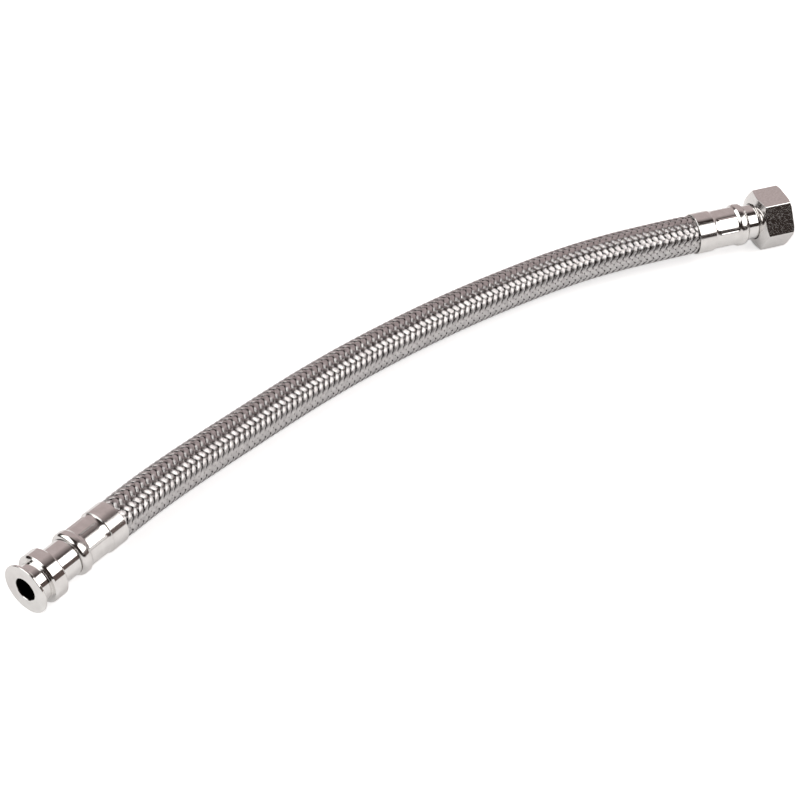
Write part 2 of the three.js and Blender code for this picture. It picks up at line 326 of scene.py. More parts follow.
# %% Pattern of the braid
BUNDLES_EACH_WAY = 12
LEAD = 28.6
WIRES_IN_BUNDLE = 7
BUNDLE_WIDTH = 1.52
WIRE_LIFT = 0.19
PATTERN_TURN = math.radians(28)
MIRRORED_SHIFT = 3
CHANGE_SHARPNESS = 2.4

wrap_slope = math.atan(2 * math.pi * HOSE_RADIUS / LEAD)
bundle_spacing = LEAD / BUNDLES_EACH_WAY * math.sin(wrap_slope)


def over_or_under(count):
    """Plus one where a bundle lies on top and minus one where it lies below, with soft changes."""
    wave = np.cos(2 * math.pi * (count - 0.5) / 4)
    return np.tanh(CHANGE_SHARPNESS * wave) / math.tanh(CHANGE_SHARPNESS)


print("angle of the wires to the hose:", round(math.degrees(wrap_slope), 1), "degrees")
print("room for each bundle:", round(bundle_spacing, 2), "mm")

# %% [markdown]
# ## One bundle
#
# Seven wires lie side by side in a bundle. As seven round tubes they would need far more faces than
# can be afforded, and their undersides are never seen. So the bundle is one ribbon whose top has
# seven low humps. They are low because light and air hardly reach between wires that touch, so a
# bundle shines more like a ribbon than like seven rods. The creases between the wires are marked as
# sharp edges, which keeps a fine line there. The ribbon is higher in its middle, as real bundles are.

# %% Section and path of a bundle
WIRE_HUMP = 0.022
BUNDLE_CROWN = 0.11
BUNDLE_THICKNESS = 0.2
UNDERSIDE_INSET = 0.1
STEPS_PER_CROSSING = 2
WIRE_UNEVENNESS = 0.005
SMOOTHING = np.hanning(15)

wire_width = BUNDLE_WIDTH / WIRES_IN_BUNDLE
hump_places = np.array([0.0, 0.27, 0.73])
section_across = (np.arange(WIRES_IN_BUNDLE)[:, None] + hump_places) * wire_width - BUNDLE_WIDTH / 2
section_across = np.append(section_across.ravel(), BUNDLE_WIDTH / 2)
section_height = np.append(np.tile([-WIRE_HUMP, 0.0, 0.0], WIRES_IN_BUNDLE), -WIRE_HUMP)
section_height = section_height - BUNDLE_CROWN * (2 * section_across / BUNDLE_WIDTH) ** 2
underside = BUNDLE_WIDTH / 2 - UNDERSIDE_INSET
section_across = np.append(section_across, [underside, -underside])
section_height = np.append(section_height, [-BUNDLE_THICKNESS - WIRE_HUMP] * 2)
CREASES = [3 * wire for wire in range(WIRES_IN_BUNDLE + 1)]


def bundle_grid(number, way, random):
    """Rings of points of one bundle. way is 1 or -1, for the two directions round the hose."""
    crossings = HOSE_LENGTH / MM / (LEAD / BUNDLES_EACH_WAY / 2)
    middle = np.linspace(0, HOSE_LENGTH / MM, round(STEPS_PER_CROSSING * crossings) + 1)[:, None]
    first_arc = number * 2 * math.pi * HOSE_RADIUS / BUNDLES_EACH_WAY
    length_at = middle + section_across * math.sin(wrap_slope)
    arc_at = first_arc + middle * math.tan(wrap_slope) - section_across * math.cos(wrap_slope)
    crossed = (length_at * math.sin(wrap_slope) + arc_at * math.cos(wrap_slope)) / bundle_spacing
    level = over_or_under(number + crossed + (0 if way > 0 else MIRRORED_SHIFT))
    jitter = random.normal(0, WIRE_UNEVENNESS, (WIRES_IN_BUNDLE, len(middle) + len(SMOOTHING) - 1))
    jitter = np.stack([np.convolve(row, SMOOTHING, "valid") for row in jitter], axis=1)
    wire_of_point = np.minimum(np.arange(len(section_across)) // 3, WIRES_IN_BUNDLE - 1)
    own_height = np.minimum(jitter, WIRE_UNEVENNESS)[:, wire_of_point]
    distance = np.clip(length_at * MM, 0, HOSE_LENGTH)
    crest = braid_radius(distance) - WIRE_LIFT * (1 - level)
    angle = way * arc_at / HOSE_RADIUS + PATTERN_TURN
    return on_hose(distance, angle, (crest + section_height + own_height) * MM)


# %% [markdown]
# ## All 24 bundles
#
# One mesh of the whole braid would be too large to edit with ease, so it is made as four pieces of
# six bundles. A fixed seed makes the small unevenness of the wires the same each time.

# %% Braid
BUNDLES_IN_PIECE = 6

random = np.random.default_rng(7)
braid_pieces = []
for way, way_name in ((1, "right_hand"), (-1, "left_hand")):
    for first in range(0, BUNDLES_EACH_WAY, BUNDLES_IN_PIECE):
        grids = [bundle_grid(number, way, random) for number in range(first, first + BUNDLES_IN_PIECE)]
        mesh = grid_mesh(f"braid_{way_name}_{first // BUNDLES_IN_PIECE + 1}", grids, sharp_columns=CREASES)
        close_ends(mesh)
        piece = place(mesh, "hose")
        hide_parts("wire_braid")
        braid_pieces.append(piece)
        print(mesh.name, "has", len(mesh.polygons), "faces")

# %% [markdown]
# ## What the hose is
#
# A hose can't be made longer or thinner without becoming another part.

# %% [markdown]
# ## Turned metal
#
# The fittings are made on a lathe, so each is a profile that is turned round an axis. The CAD solid
# has 36 flat sides, which would show as stripes in bright metal. So the same profile is turned here
# with many more sides. Real edges are never quite sharp either: every corner of the profile gets a
# small round, and two points close beside it, which keep the flat faces flat where they are shaded
# smooth.

# %% Helper: round the corners of a profile
ROUND_STEPS = 4
SUPPORT = 0.03
NEARLY_STRAIGHT = math.radians(84)
MOST_OF_ROOM = 0.8
SUPPORT_OF_ROOM = 0.15


def rounded(profile, radius=0.12):
    """The closed profile [(radius, height), ...] with an arc at each corner, in millimetres."""
    points = np.array(profile, float)
    found = []
    for here, before, after in zip(points, np.roll(points, 1, axis=0), np.roll(points, -1, axis=0)):
        back, forth = before - here, after - here
        room = min(np.linalg.norm(back), np.linalg.norm(forth)) / 2
        back, forth = back / np.linalg.norm(back), forth / np.linalg.norm(forth)
        half_angle = math.acos(max(-1, min(1, float(back @ forth)))) / 2
        if half_angle > NEARLY_STRAIGHT:
            found.append(here)
            continue
        cut = min(radius / math.tan(half_angle), room * MOST_OF_ROOM)
        support = min(SUPPORT, room * SUPPORT_OF_ROOM)
        first, last = here + back * cut, here + forth * cut
        centre = here + (back + forth) / np.linalg.norm(back + forth) * cut / math.cos(half_angle)
        start, end = first - centre, last - centre
        spread = math.atan2(start[0] * end[1] - start[1] * end[0], float(start @ end))
        found.append(first + back * support)
        for step in range(ROUND_STEPS + 1):
            angle = spread * step / ROUND_STEPS
            spin = np.array(((math.cos(angle), -math.sin(angle)), (math.sin(angle), math.cos(angle))))
            found.append(centre + spin @ start)
        found.append(last + forth * support)
    return np.array(found)


def turned(name, profile, sides=192, shape=None):
    """A ring of the profile round the Y axis. shape may change the radius by height and angle."""
    angle = np.linspace(0, 2 * math.pi, sides, endpoint=False)[:, None]
    radius, height = (np.broadcast_to(values, (sides, len(profile))) for values in profile.T)
    if shape is not None:
        radius = shape(radius, height, angle)
    grid = np.stack([radius * np.sin(angle), height, radius * np.cos(angle)], axis=-1) * MM
    mesh = grid_mesh(name, [grid], close_length=True)
    close_ends(mesh)
    return mesh


# %% [markdown]
# ## The tail inside the hose
#
# Both inserts end in the same tail: a narrow neck that the sleeve's lip grips, a ring that finds its
# place, and barbs like a saw that the rubber tube is pushed over. None of it shows once the hose is
# on, but a fitting without its tail would be an odd thing to keep in a library.

# %% Profile of the tail
BORE_RADIUS = 3.75
BORE_CHAMFER = 0.35
SHANK_RADIUS = 6.25
NECK_RADIUS = 5.5
LOCATING_RING_RADIUS = 6.1
LOCATING_RING_WIDTH = 0.9
RING_TO_BARB = 2.0
TAIL_RADIUS = 4.6
BARB_DEPTH = 0.4
BARB_SPACING = 3.4
BARB_COUNT = 4
LAYER_GAP = 0.2
LIP_THICKNESS = 1.3


def tail_profile(front):
    """Points from the shank's end to the bore, with the sleeve's front at this height."""
    ring_start = front + LIP_THICKNESS + LAYER_GAP
    ring_end = ring_start + LOCATING_RING_WIDTH
    first_barb = ring_end + RING_TO_BARB
    points = [
        (SHANK_RADIUS, front - LAYER_GAP),
        (NECK_RADIUS, front - LAYER_GAP),
        (NECK_RADIUS, ring_start),
        (LOCATING_RING_RADIUS, ring_start),
        (LOCATING_RING_RADIUS, ring_end),
        (TAIL_RADIUS, ring_end),
    ]
    for barb in range(BARB_COUNT):
        crest = first_barb + barb * BARB_SPACING
        points += [(TAIL_RADIUS, crest), (TAIL_RADIUS - BARB_DEPTH, crest + BARB_SPACING)]
    return points + [(BORE_RADIUS, first_barb + BARB_COUNT * BARB_SPACING)]


# %% [markdown]
# ## The plug-in end
#
# This end is pushed into a socket. The joint is made tight at the groove behind the end disc, and a
# clip holds it behind the wide collar. The groove is empty, as on the real one before it is fitted.

# %% Plug-in end
END_DISC_RADIUS = 8.5
END_DISC_THICKNESS = 1.0
SEAL_GROOVE_RADIUS = 6.5
COLLAR_START = 5.1
COLLAR_END = 10.4
COLLAR_RADIUS = 8.4
COLLAR_EDGE = 0.6
EDGE = 0.3

spigot_profile = [
    (BORE_RADIUS + BORE_CHAMFER, 0),
    (END_DISC_RADIUS - EDGE / 2, 0),
    (END_DISC_RADIUS, EDGE / 2),
    (END_DISC_RADIUS, END_DISC_THICKNESS - EDGE),
    (END_DISC_RADIUS - EDGE, END_DISC_THICKNESS),
    (SEAL_GROOVE_RADIUS, END_DISC_THICKNESS),
    (SEAL_GROOVE_RADIUS, COLLAR_START),
    (COLLAR_RADIUS - COLLAR_EDGE, COLLAR_START),
    (COLLAR_RADIUS, COLLAR_START + COLLAR_EDGE),
    (COLLAR_RADIUS, COLLAR_END - COLLAR_EDGE),
    (COLLAR_RADIUS - COLLAR_EDGE, COLLAR_END),
    (SHANK_RADIUS, COLLAR_END),
    *tail_profile(SPIGOT_FERRULE_FRONT),
    (BORE_RADIUS, BORE_CHAMFER),
]
plug_in_end = place(turned("plug_in_end", rounded(spigot_profile)), "hose", SPIGOT_PLACE)
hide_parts("spigot_insert")
print("plug-in end:", len(plug_in_end.data.polygons), "faces")

# %% [markdown]
# ## The nut's insert
#
# At the other end the insert has a flat head inside the nut. The nut pulls the head's face against
# whatever the hose is screwed to, while the hose itself doesn't turn.

# %% Nut insert
FLANGE_FACE = 7.65
FLANGE_BACK = 9.45
FLANGE_RADIUS = 7.2

insert_profile = [
    (BORE_RADIUS + BORE_CHAMFER, FLANGE_FACE),
    (FLANGE_RADIUS - EDGE, FLANGE_FACE),
    (FLANGE_RADIUS, FLANGE_FACE + EDGE),
    (FLANGE_RADIUS, FLANGE_BACK),
    (SHANK_RADIUS, FLANGE_BACK),
    *tail_profile(NUT_FERRULE_FRONT),
    (BORE_RADIUS, FLANGE_FACE + BORE_CHAMFER),
]
flanged_insert = place(turned("flanged_insert", rounded(insert_profile)), "hose", NUT_PLACE)
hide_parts("nut_insert")
print("nut insert:", len(flanged_insert.data.polygons), "faces")

# %% [markdown]
# ## The crimped sleeves
#
# A sleeve starts as a plain cup of thin brass. Its front is rolled in to grip the insert's neck, and
# eight jaws then press its waist on to the hose. The jaws leave eight shallow faces, and between
# them a little metal is squeezed up into ridges. The same profile can be turned as for the other
# parts, if the radius of its waist is made to depend on the angle.

# %% Sleeve with the marks of eight jaws
BEAD_START = 1.6
BEAD_END = 2.9
CRIMP_START = 4.2
CRIMP_END = 11.4
MOUTH_START = 13.0
BEAD_RADIUS = 7.55
CRIMP_RADIUS = 6.85
SLEEVE_MOUTH_RADIUS = 7.35
SLEEVE_WALL = 0.55
JAWS = 8
RIDGE_HEIGHT = 0.13
RIDGE_HALF_ANGLE = math.radians(5)
JAW_FLATNESS = 0.02
MOUTH_CORNER = 0.15
LIP_CORNER = 0.15
RIM_HEIGHT = 0.2
MARKS_FADE_IN = 0.5
MARKS_FADE_OUT = 0.3
MARKS_REACH_FRONT = 0.3
MARKS_REACH_BACK = 0.1
WAIST_RINGS = 30
SPIGOT_RIDGE_TURN = math.radians(12)
NUT_RIDGE_TURN = math.radians(17)


def smooth_step(share):
    share = np.clip(share, 0, 1)
    return share * share * (3 - 2 * share)


def quarter_round(start, end, bulge_first, steps=14):
    """Points of a quarter of an ellipse between two corners, without the corners."""
    found = []
    for step in range(1, steps):
        turn_angle = step / steps * math.pi / 2
        early, late = math.sin(turn_angle), 1 - math.cos(turn_angle)
        share_r, share_h = (early, late) if bulge_first else (late, early)
        radius = start[0] + (end[0] - start[0]) * share_r
        height = start[1] + (end[1] - start[1]) * share_h
        found.append((radius, height))
    return found


def waist_slope(start, end, steps=14):
    """Points of a soft S between two radii, without its ends."""
    shares = np.arange(1, steps) / steps
    radii = start[0] + (end[0] - start[0]) * smooth_step(shares)
    heights = start[1] + (end[1] - start[1]) * shares
    return list(zip(radii, heights))


def jaw_marks(ridge_turn):
    """A function of the sleeve's radius with jaw faces and ridges between them, outside only."""
    def pressed_radius(radius, height, angle):
        jaw_angle = 2 * math.pi / JAWS
        from_ridge = np.abs((angle - ridge_turn + jaw_angle / 2) % jaw_angle - jaw_angle / 2)
        ridge = RIDGE_HEIGHT * (1 - smooth_step(from_ridge / RIDGE_HALF_ANGLE))
        flat = JAW_FLATNESS * (1 - (1 - from_ridge / (jaw_angle / 2)) ** 2)
        after_start = smooth_step((height - CRIMP_START + MARKS_REACH_FRONT) / MARKS_FADE_IN)
        before_end = smooth_step((CRIMP_END + MARKS_REACH_BACK - height) / MARKS_FADE_OUT)
        pressed = after_start * before_end
        outside = radius > CRIMP_RADIUS - 0.1
        return radius + np.where(outside, pressed * (ridge - flat), 0)
    return pressed_radius


def sleeve_profile():
    front_edge, bead_front = (SHANK_RADIUS, 0.0), (BEAD_RADIUS, BEAD_START)
    bead_back, waist_front = (BEAD_RADIUS, BEAD_END), (CRIMP_RADIUS, CRIMP_START)
    waist_back = (CRIMP_RADIUS, CRIMP_END)
    waist = [(CRIMP_RADIUS, height) for height in np.linspace(CRIMP_START, CRIMP_END, WAIST_RINGS)]
    half_wall = SLEEVE_WALL / 2
    rim_middle = SLEEVE_MOUTH_RADIUS - half_wall
    rim_start = FERRULE_LENGTH - RIM_HEIGHT
    rim = [
        (rim_middle + half_wall * math.cos(t), rim_start + RIM_HEIGHT * math.sin(t))
        for t in np.linspace(0, math.pi, 9)
    ]
    step_corner = [
        (
            SLEEVE_MOUTH_RADIUS - MOUTH_CORNER * (1 - math.sin(t)),
            MOUTH_START + MOUTH_CORNER * (1 - math.cos(t)),
        )
        for t in np.linspace(0, math.pi / 2, 5)
    ]
    bead_inside, crimp_inside = BEAD_RADIUS - SLEEVE_WALL, CRIMP_RADIUS - SLEEVE_WALL
    return np.array([
        (NECK_RADIUS + LAYER_GAP, LIP_CORNER),
        (NECK_RADIUS + LAYER_GAP + LIP_CORNER, 0.0),
        (SHANK_RADIUS - SUPPORT, 0.0),
        front_edge,
        *quarter_round(front_edge, bead_front, True),
        bead_front,
        bead_back,
        *waist_slope(bead_back, waist_front),
        *waist,
        *quarter_round(waist_back, (SLEEVE_MOUTH_RADIUS - MOUTH_CORNER, MOUTH_START), False),
        *step_corner,
        (SLEEVE_MOUTH_RADIUS, MOUTH_START + MOUTH_CORNER + 2 * SUPPORT),
        (SLEEVE_MOUTH_RADIUS, FERRULE_LENGTH - RIM_HEIGHT - 2 * SUPPORT),
        *rim,
        (SLEEVE_MOUTH_RADIUS - SLEEVE_WALL, MOUTH_START),
        (crimp_inside, CRIMP_END),
        (crimp_inside, CRIMP_START),
        (bead_inside, BEAD_END),
        (bead_inside, BEAD_START),
        (SHANK_RADIUS, LIP_THICKNESS),
        (NECK_RADIUS + LAYER_GAP, LIP_THICKNESS),
    ])


sleeves = []
for name, node, place_matrix, front, ridge_turn in (
    ("plug_in_sleeve", "spigot_ferrule", SPIGOT_PLACE, SPIGOT_FERRULE_FRONT, SPIGOT_RIDGE_TURN),
    ("nut_sleeve", "nut_ferrule", NUT_PLACE, NUT_FERRULE_FRONT, NUT_RIDGE_TURN),
):
    sleeve_mesh = turned(name, sleeve_profile(), sides=288, shape=jaw_marks(ridge_turn))
    sleeve = place(sleeve_mesh, "hose", place_matrix @ Matrix.Translation((0, front * MM, 0)))
    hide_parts(node)
    sleeves.append(sleeve)
    print(name, "has", len(sleeve_mesh.polygons), "faces")

# %% [markdown]
# ## The swivel nut
#
# The nut is a piece of hexagon bar. Both ends are turned, so a cone cuts each corner away and leaves
# a curved edge on every flat. Cutting a hexagon with a cone by a boolean gives untidy faces there.
# It is easier to think of the nut as a turned part whose outline is different at each angle: where
# the flat is near the axis the cone ends early, and at the corner it ends late.

# %% Nut
FLAT_DISTANCE = 9.5
NUT_LENGTH = 11.9
HALF_SIDE = math.pi / 6
CORNER_RADIUS = FLAT_DISTANCE / math.cos(HALF_SIDE)
CORNER_ROUND = 0.4
FRONT_CHAMFER_WIDTH = 1.04
FRONT_FACE_RADIUS = CORNER_RADIUS - FRONT_CHAMFER_WIDTH
BACK_FACE_RADIUS = 7.1
BACK_CONE_START = 10.0
SOCKET_RADIUS = 8.3
SOCKET_LEAD_IN = 0.5
NUT_HOLE_RADIUS = 6.5
NUT_LIP_START = 9.7
EDGE_BREAK = 0.15
EDGE_SHARE = 0.01


def hexagon_outline(flat_steps=14, corner_steps=6):
    """Angle and radius of points round a hexagon with small rounds at its corners."""
    middle = (FLAT_DISTANCE - CORNER_ROUND) / math.cos(HALF_SIDE)
    points = []
    for side in range(6):
        corner = side * 2 * HALF_SIDE
        centre = np.array((math.cos(corner), math.sin(corner))) * middle
        for lean in corner + np.linspace(-HALF_SIDE, HALF_SIDE, corner_steps + 1):
            points.append(centre + CORNER_ROUND * np.array((math.cos(lean), math.sin(lean))))
        next_corner = corner + 2 * HALF_SIDE
        lean = corner + HALF_SIDE
        far = np.array((math.cos(next_corner), math.sin(next_corner))) * middle
        far = far + CORNER_ROUND * np.array((math.cos(lean), math.sin(lean)))
        near = points[-1]
        for share in (EDGE_SHARE, *np.linspace(0, 1, flat_steps + 1)[1:-1], 1 - EDGE_SHARE):
            points.append(near + (far - near) * share)
    points = np.array(points)
    return np.arctan2(points[:, 1], points[:, 0]), np.linalg.norm(points, axis=1)


def nut_section(outer):
    """The nut's section where its outline is this far from the axis."""
    front = min(FRONT_FACE_RADIUS, outer - EDGE_BREAK)
    front_height = max(EDGE_BREAK, (outer - FRONT_FACE_RADIUS) / math.sqrt(3))
    cone_slope = (CORNER_RADIUS - BACK_FACE_RADIUS) / (NUT_LENGTH - BACK_CONE_START)
    back_height = BACK_CONE_START + (CORNER_RADIUS - outer) / cone_slope
    return rounded([
        (SOCKET_RADIUS + SOCKET_LEAD_IN, 0),
        (front, 0),
        (outer, front_height),
        (outer, back_height),
        (BACK_FACE_RADIUS, NUT_LENGTH),
        (NUT_HOLE_RADIUS, NUT_LENGTH),
        (NUT_HOLE_RADIUS, NUT_LIP_START),
        (SOCKET_RADIUS, NUT_LIP_START),
        (SOCKET_RADIUS, SOCKET_LEAD_IN),
    ])


outline_angle, outline_radius = hexagon_outline()
sections = np.stack([nut_section(radius) for radius in outline_radius])
nut_grid = np.stack([
    sections[..., 0] * np.cos(outline_angle)[:, None],
    sections[..., 1],
    sections[..., 0] * np.sin(outline_angle)[:, None],
], axis=-1) * MM
nut_mesh = grid_mesh("hexagon_nut", [nut_grid], close_length=True)
close_ends(nut_mesh)
hexagon_nut = place(nut_mesh, "nut", NUT_PLACE)
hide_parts("swivel_nut")
print("nut:", len(nut_mesh.polygons), "faces, each section has", sections.shape[1], "points")

# %% [markdown]
# ## The thread in the nut
#
# The socket has a pipe thread. A thread is one ridge that climbs in a spiral, so it is a small
# section carried along a helix. Its two ends fade into the wall, as where a tap starts and stops.

# %% Thread
THREAD_PITCH = 1.337
THREAD_CREST_RADIUS = 7.48
THREAD_FROM = 1.0
THREAD_TURNS = 3.7
STEPS_PER_TURN = 72
FADES_PER_TURN = 3
half_section = np.array([(0.1, -0.66), (0.0, -0.6), (-0.72, -0.2), (-0.8, -0.12), (-0.82, 0.0)])
ridge_section = np.vstack([half_section, half_section[-2::-1] * (1, -1)])
ridge_section[:, 0] *= (SOCKET_RADIUS - THREAD_CREST_RADIUS) / -half_section[:, 0].min()

helix_turn = np.linspace(0, THREAD_TURNS, round(THREAD_TURNS * STEPS_PER_TURN) + 1)[:, None]
fade = smooth_step(helix_turn * FADES_PER_TURN) * smooth_step((THREAD_TURNS - helix_turn) * FADES_PER_TURN)
rise = ridge_section[:, 0]
ridge_radius = SOCKET_RADIUS + np.where(rise < 0, rise * fade, rise)
ridge_height = THREAD_FROM + helix_turn * THREAD_PITCH + ridge_section[:, 1]
helix_angle = 2 * math.pi * helix_turn
thread_grid = np.stack([
    ridge_radius * np.cos(helix_angle),
    ridge_height,
    ridge_radius * np.sin(helix_angle),
], axis=-1)
thread_mesh = grid_mesh("nut_thread", [thread_grid * MM])
close_ends(thread_mesh)
nut_thread = place(thread_mesh, "nut", NUT_PLACE)
print("thread:", len(thread_mesh.polygons), "faces")

# %% [markdown]
# ## Helpers for the finishes
#
# A finish is a small network of nodes. Noise that is stretched along one direction gives fine lines,
# and noise of even size gives stains. Values that are the same everywhere are set on the shader
# itself, and only what varies comes from nodes.

# %% Helpers for materials
def new_finish(name, **same_everywhere):
    """A material and its Principled shader, with these values set on the shader."""
    material = bpy.data.materials.new(name)
    material.use_nodes = True
    shader = material.node_tree.nodes["Principled BSDF"]
    for socket, value in same_everywhere.items():
        shader.inputs[socket.replace("_", " ")].default_value = value
    return material, shader


def stretched_noise(tree, scale, detail=3, roughness=0.5):
    """Noise in the piece's own space, in features per metre along X, Y and Z."""
    place_node = tree.nodes.new("ShaderNodeTexCoord")
    mapping = tree.nodes.new("ShaderNodeMapping")
    mapping.inputs["Scale"].default_value = scale
    noise = tree.nodes.new("ShaderNodeTexNoise")
    noise.inputs["Scale"].default_value = 1
    noise.inputs["Detail"].default_value = detail
    noise.inputs["Roughness"].default_value = roughness
    tree.links.new(place_node.outputs["Object"], mapping.inputs["Vector"])
    tree.links.new(mapping.outputs["Vector"], noise.inputs["Vector"])
    return noise.outputs["Fac"]


def remap(tree, value, low, high, start=0.35, end=0.65):
    """The value between two numbers, as it goes from start to end."""
    node = tree.nodes.new("ShaderNodeMapRange")
    node.inputs["From Min"].default_value = start
    node.inputs["From Max"].default_value = end
    node.inputs["To Min"].default_value = low
    node.inputs["To Max"].default_value = high
    tree.links.new(value, node.inputs["Value"])
    return node.outputs["Result"]


def blend_colours(tree, value, first, second, start=0.35, end=0.65):
    """A colour between two, as the value goes from start to end."""
    ramp = tree.nodes.new("ShaderNodeValToRGB")
    ramp.color_ramp.elements[0].position = start
    ramp.color_ramp.elements[1].position = end
    ramp.color_ramp.elements[0].color = (*first, 1)
    ramp.color_ramp.elements[1].color = (*second, 1)
    tree.links.new(value, ramp.inputs["Fac"])
    return ramp.outputs["Color"]


def mix_colours(tree, share, below, above):
    """One colour with another over it where share is one. The colour below may be a socket."""
    mix = tree.nodes.new("ShaderNodeMix")
    mix.data_type = "RGBA"
    tree.links.new(share, mix.inputs["Factor"])
    if isinstance(below, bpy.types.NodeSocket):
        tree.links.new(below, mix.inputs["A"])
    else:
        mix.inputs["A"].default_value = (*below, 1)
    mix.inputs["B"].default_value = (*above, 1)
    return mix.outputs["Result"]


def relief(tree, shader, layers):
    """Adds bump from (height value, depth in metres) layers, one on another."""
    previous = None
    for value, depth in layers:
        bump = tree.nodes.new("ShaderNodeBump")
        bump.inputs["Strength"].default_value = 1
        bump.inputs["Distance"].default_value = depth
        tree.links.new(value, bump.inputs["Height"])
        if previous is not None:
            tree.links.new(previous, bump.inputs["Normal"])
        previous = bump.outputs["Normal"]
    tree.links.new(previous, shader.inputs["Normal"])


# %% [markdown]
# ## Nickel on turned brass
#
# Nickel plating is bright and a little warmer than chrome. Under it are the fine rings that the
# lathe left, which run round the axis. So the noise changes fast along Y and hardly round it.
# Inside the bore the colour is painted nearly black, as painted shade of the deep hole. The
# distance to the axis says where that is.

# %% Turned nickel
BORE_PAINTED_SHADE = (0.012, 0.009, 0.008)
BORE_SHADE_PAST = 0.15
BORE_SHADE_FADE = 0.1


def near_axis(tree, radius, fade):
    """One nearer to the piece's own Y axis than this radius, and zero farther out."""
    place_node = tree.nodes.new("ShaderNodeTexCoord")
    flattened = tree.nodes.new("ShaderNodeVectorMath")
    flattened.operation = "MULTIPLY"
    flattened.inputs[1].default_value = (1, 0, 1)
    distance = tree.nodes.new("ShaderNodeVectorMath")
    distance.operation = "LENGTH"
    tree.links.new(place_node.outputs["Object"], flattened.inputs[0])
    tree.links.new(flattened.outputs["Vector"], distance.inputs[0])
    return remap(tree, distance.outputs["Value"], 1, 0, radius, radius + fade)


turned_nickel, shader = new_finish("turned_nickel", Metallic=1.0)
tree = turned_nickel.node_tree
lathe_rings = stretched_noise(tree, (60, 9000, 60), detail=2)
cloud = stretched_noise(tree, (260, 260, 260), detail=4)
plating = blend_colours(tree, cloud, (0.74, 0.725, 0.71), (0.80, 0.79, 0.775))
# Painted shade: inside this radius the colour is mixed to near-black, for the bore's shade.
bore_painted_shade = near_axis(tree, (BORE_RADIUS + BORE_SHADE_PAST) * MM, BORE_SHADE_FADE * MM)
tree.links.new(mix_colours(tree, bore_painted_shade, plating, BORE_PAINTED_SHADE), shader.inputs["Base Color"])
tree.links.new(remap(tree, cloud, 0.07, 0.13), shader.inputs["Roughness"])
relief(tree, shader, [(lathe_rings, 0.0000006), (cloud, 0.000004)])
for piece in (plug_in_end, flanged_insert):
    piece.data.materials.append(turned_nickel)

# %% [markdown]
# ## Nickel on the pressed sleeves
#
# The sleeves are drawn and pressed, not turned. Their plating shows faint lines along the hose and
# the skin is a little softer where the jaws slid over it.

# %% Pressed nickel
pressed_nickel, shader = new_finish("pressed_nickel", Metallic=1.0)
tree = pressed_nickel.node_tree
draw_lines = stretched_noise(tree, (2600, 90, 2600), detail=3)
cloud = stretched_noise(tree, (330, 330, 330), detail=5)
plating = blend_colours(tree, cloud, (0.72, 0.705, 0.69), (0.79, 0.775, 0.76))
tree.links.new(plating, shader.inputs["Base Color"])
tree.links.new(remap(tree, draw_lines, 0.10, 0.20), shader.inputs["Roughness"])
relief(tree, shader, [(draw_lines, 0.0000025), (cloud, 0.000008)])
for piece in sleeves:
    piece.data.materials.append(pressed_nickel)

# %% [markdown]
# ## Nickel on the nut
#
# The nut's flats are those of drawn bar: fine lines along the nut, and small pits that the plating
# didn't fill. In a bright room the pits show as tiny specks.

# %% Nickel on drawn bar
bar_nickel, shader = new_finish("bar_nickel", Metallic=1.0)
tree = bar_nickel.node_tree
bar_lines = stretched_noise(tree, (3200, 160, 3200), detail=3)
pits = stretched_noise(tree, (1500, 1100, 1500), detail=5, roughness=0.7)
pitted = blend_colours(tree, pits, (0.70, 0.685, 0.67), (0.79, 0.775, 0.76))
tree.links.new(pitted, shader.inputs["Base Color"])
tree.links.new(remap(tree, pits, 0.05, 0.12), shader.inputs["Roughness"])
relief(tree, shader, [(bar_lines, 0.000001), (pits, 0.000005)])
for piece in (hexagon_nut, nut_thread):
    piece.data.materials.append(bar_nickel)

# %% [markdown]
# ## Steel wire
#
# The wire is plain stainless steel with faint drawing marks. Its shine comes from the shape: each
# bundle throws a light where it faces a window, and turns dark where it bends down under the next.

# %% Steel wire
braid_wire, shader = new_finish("braid_wire", Metallic=1.0)
tree = braid_wire.node_tree
stain = stretched_noise(tree, (700, 700, 700), detail=4)
fine = stretched_noise(tree, (9000, 9000, 9000), detail=2)
stained = blend_colours(tree, stain, (0.48, 0.465, 0.465), (0.62, 0.605, 0.60))
tree.links.new(stained, shader.inputs["Base Color"])
tree.links.new(remap(tree, fine, 0.13, 0.22), shader.inputs["Roughness"])
relief(tree, shader, [(fine, 0.000004)])
for piece in braid_pieces:
    piece.data.materials.append(braid_wire)

# %% [markdown]
# ## Rubber
#
# The tube is black rubber with the dull, slightly dusty skin of a hose that was cured in talc.

# %% Rubber
black_rubber, shader = new_finish("black_rubber", Metallic=0.0)
tree = black_rubber.node_tree
dust = stretched_noise(tree, (500, 500, 500), detail=5)
grain = stretched_noise(tree, (6000, 6000, 6000), detail=2)
dusty = blend_colours(tree, dust, (0.008, 0.0075, 0.008), (0.022, 0.021, 0.021))
tree.links.new(dusty, shader.inputs["Base Color"])
tree.links.new(remap(tree, dust, 0.6, 0.85), shader.inputs["Roughness"])
relief(tree, shader, [(grain, 0.00002)])
rubber_tube.data.materials.append(black_rubber)
print("finishes:", ", ".join(material.name for material in bpy.data.materials))

# %% [markdown]
# ## The floor
#
# The hose lies on a plain pale sheet. In the picture the sheet is white nearly everywhere, and only
# a faint shade stays under the hose. More light would bleach the metal too. So the floor has an
# ordinary pale colour, and a little of its own light that only the camera and reflections see.

# %% Floor
FLOOR_REACH = 6
FLOOR_COLOUR = (0.8, 0.8, 0.8)
GLOW_FOR_CAMERA = 0.62
GLOW_IN_MIRRORS = 0.2

